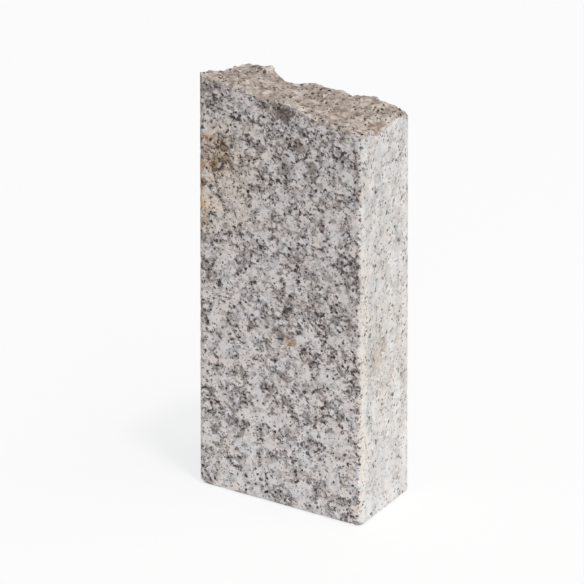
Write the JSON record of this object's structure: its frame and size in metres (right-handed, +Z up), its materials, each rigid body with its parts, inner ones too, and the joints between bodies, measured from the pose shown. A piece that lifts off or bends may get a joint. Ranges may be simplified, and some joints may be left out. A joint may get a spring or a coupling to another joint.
{
  "type": "granite kerb stone",
  "caption": "Short rectangular bar of granite with sawn faces, eased arrises and a rough split end, used as a kerb or edging stone.",
  "frame": {"origin": "middle of the sawn end that the stone stands on", "axes": "+Z up along the bar to the split end, -Y out of the broad front face, +X out of the narrow face at the right"},
  "size_m": [0.1, 0.05, 0.2441],
  "materials": {
    "granite": "sawn on the faces, rough where split"
  },
  "bodies": {
    "root": {"kerb_stone": "granite"}
  },
  "joints": []
}
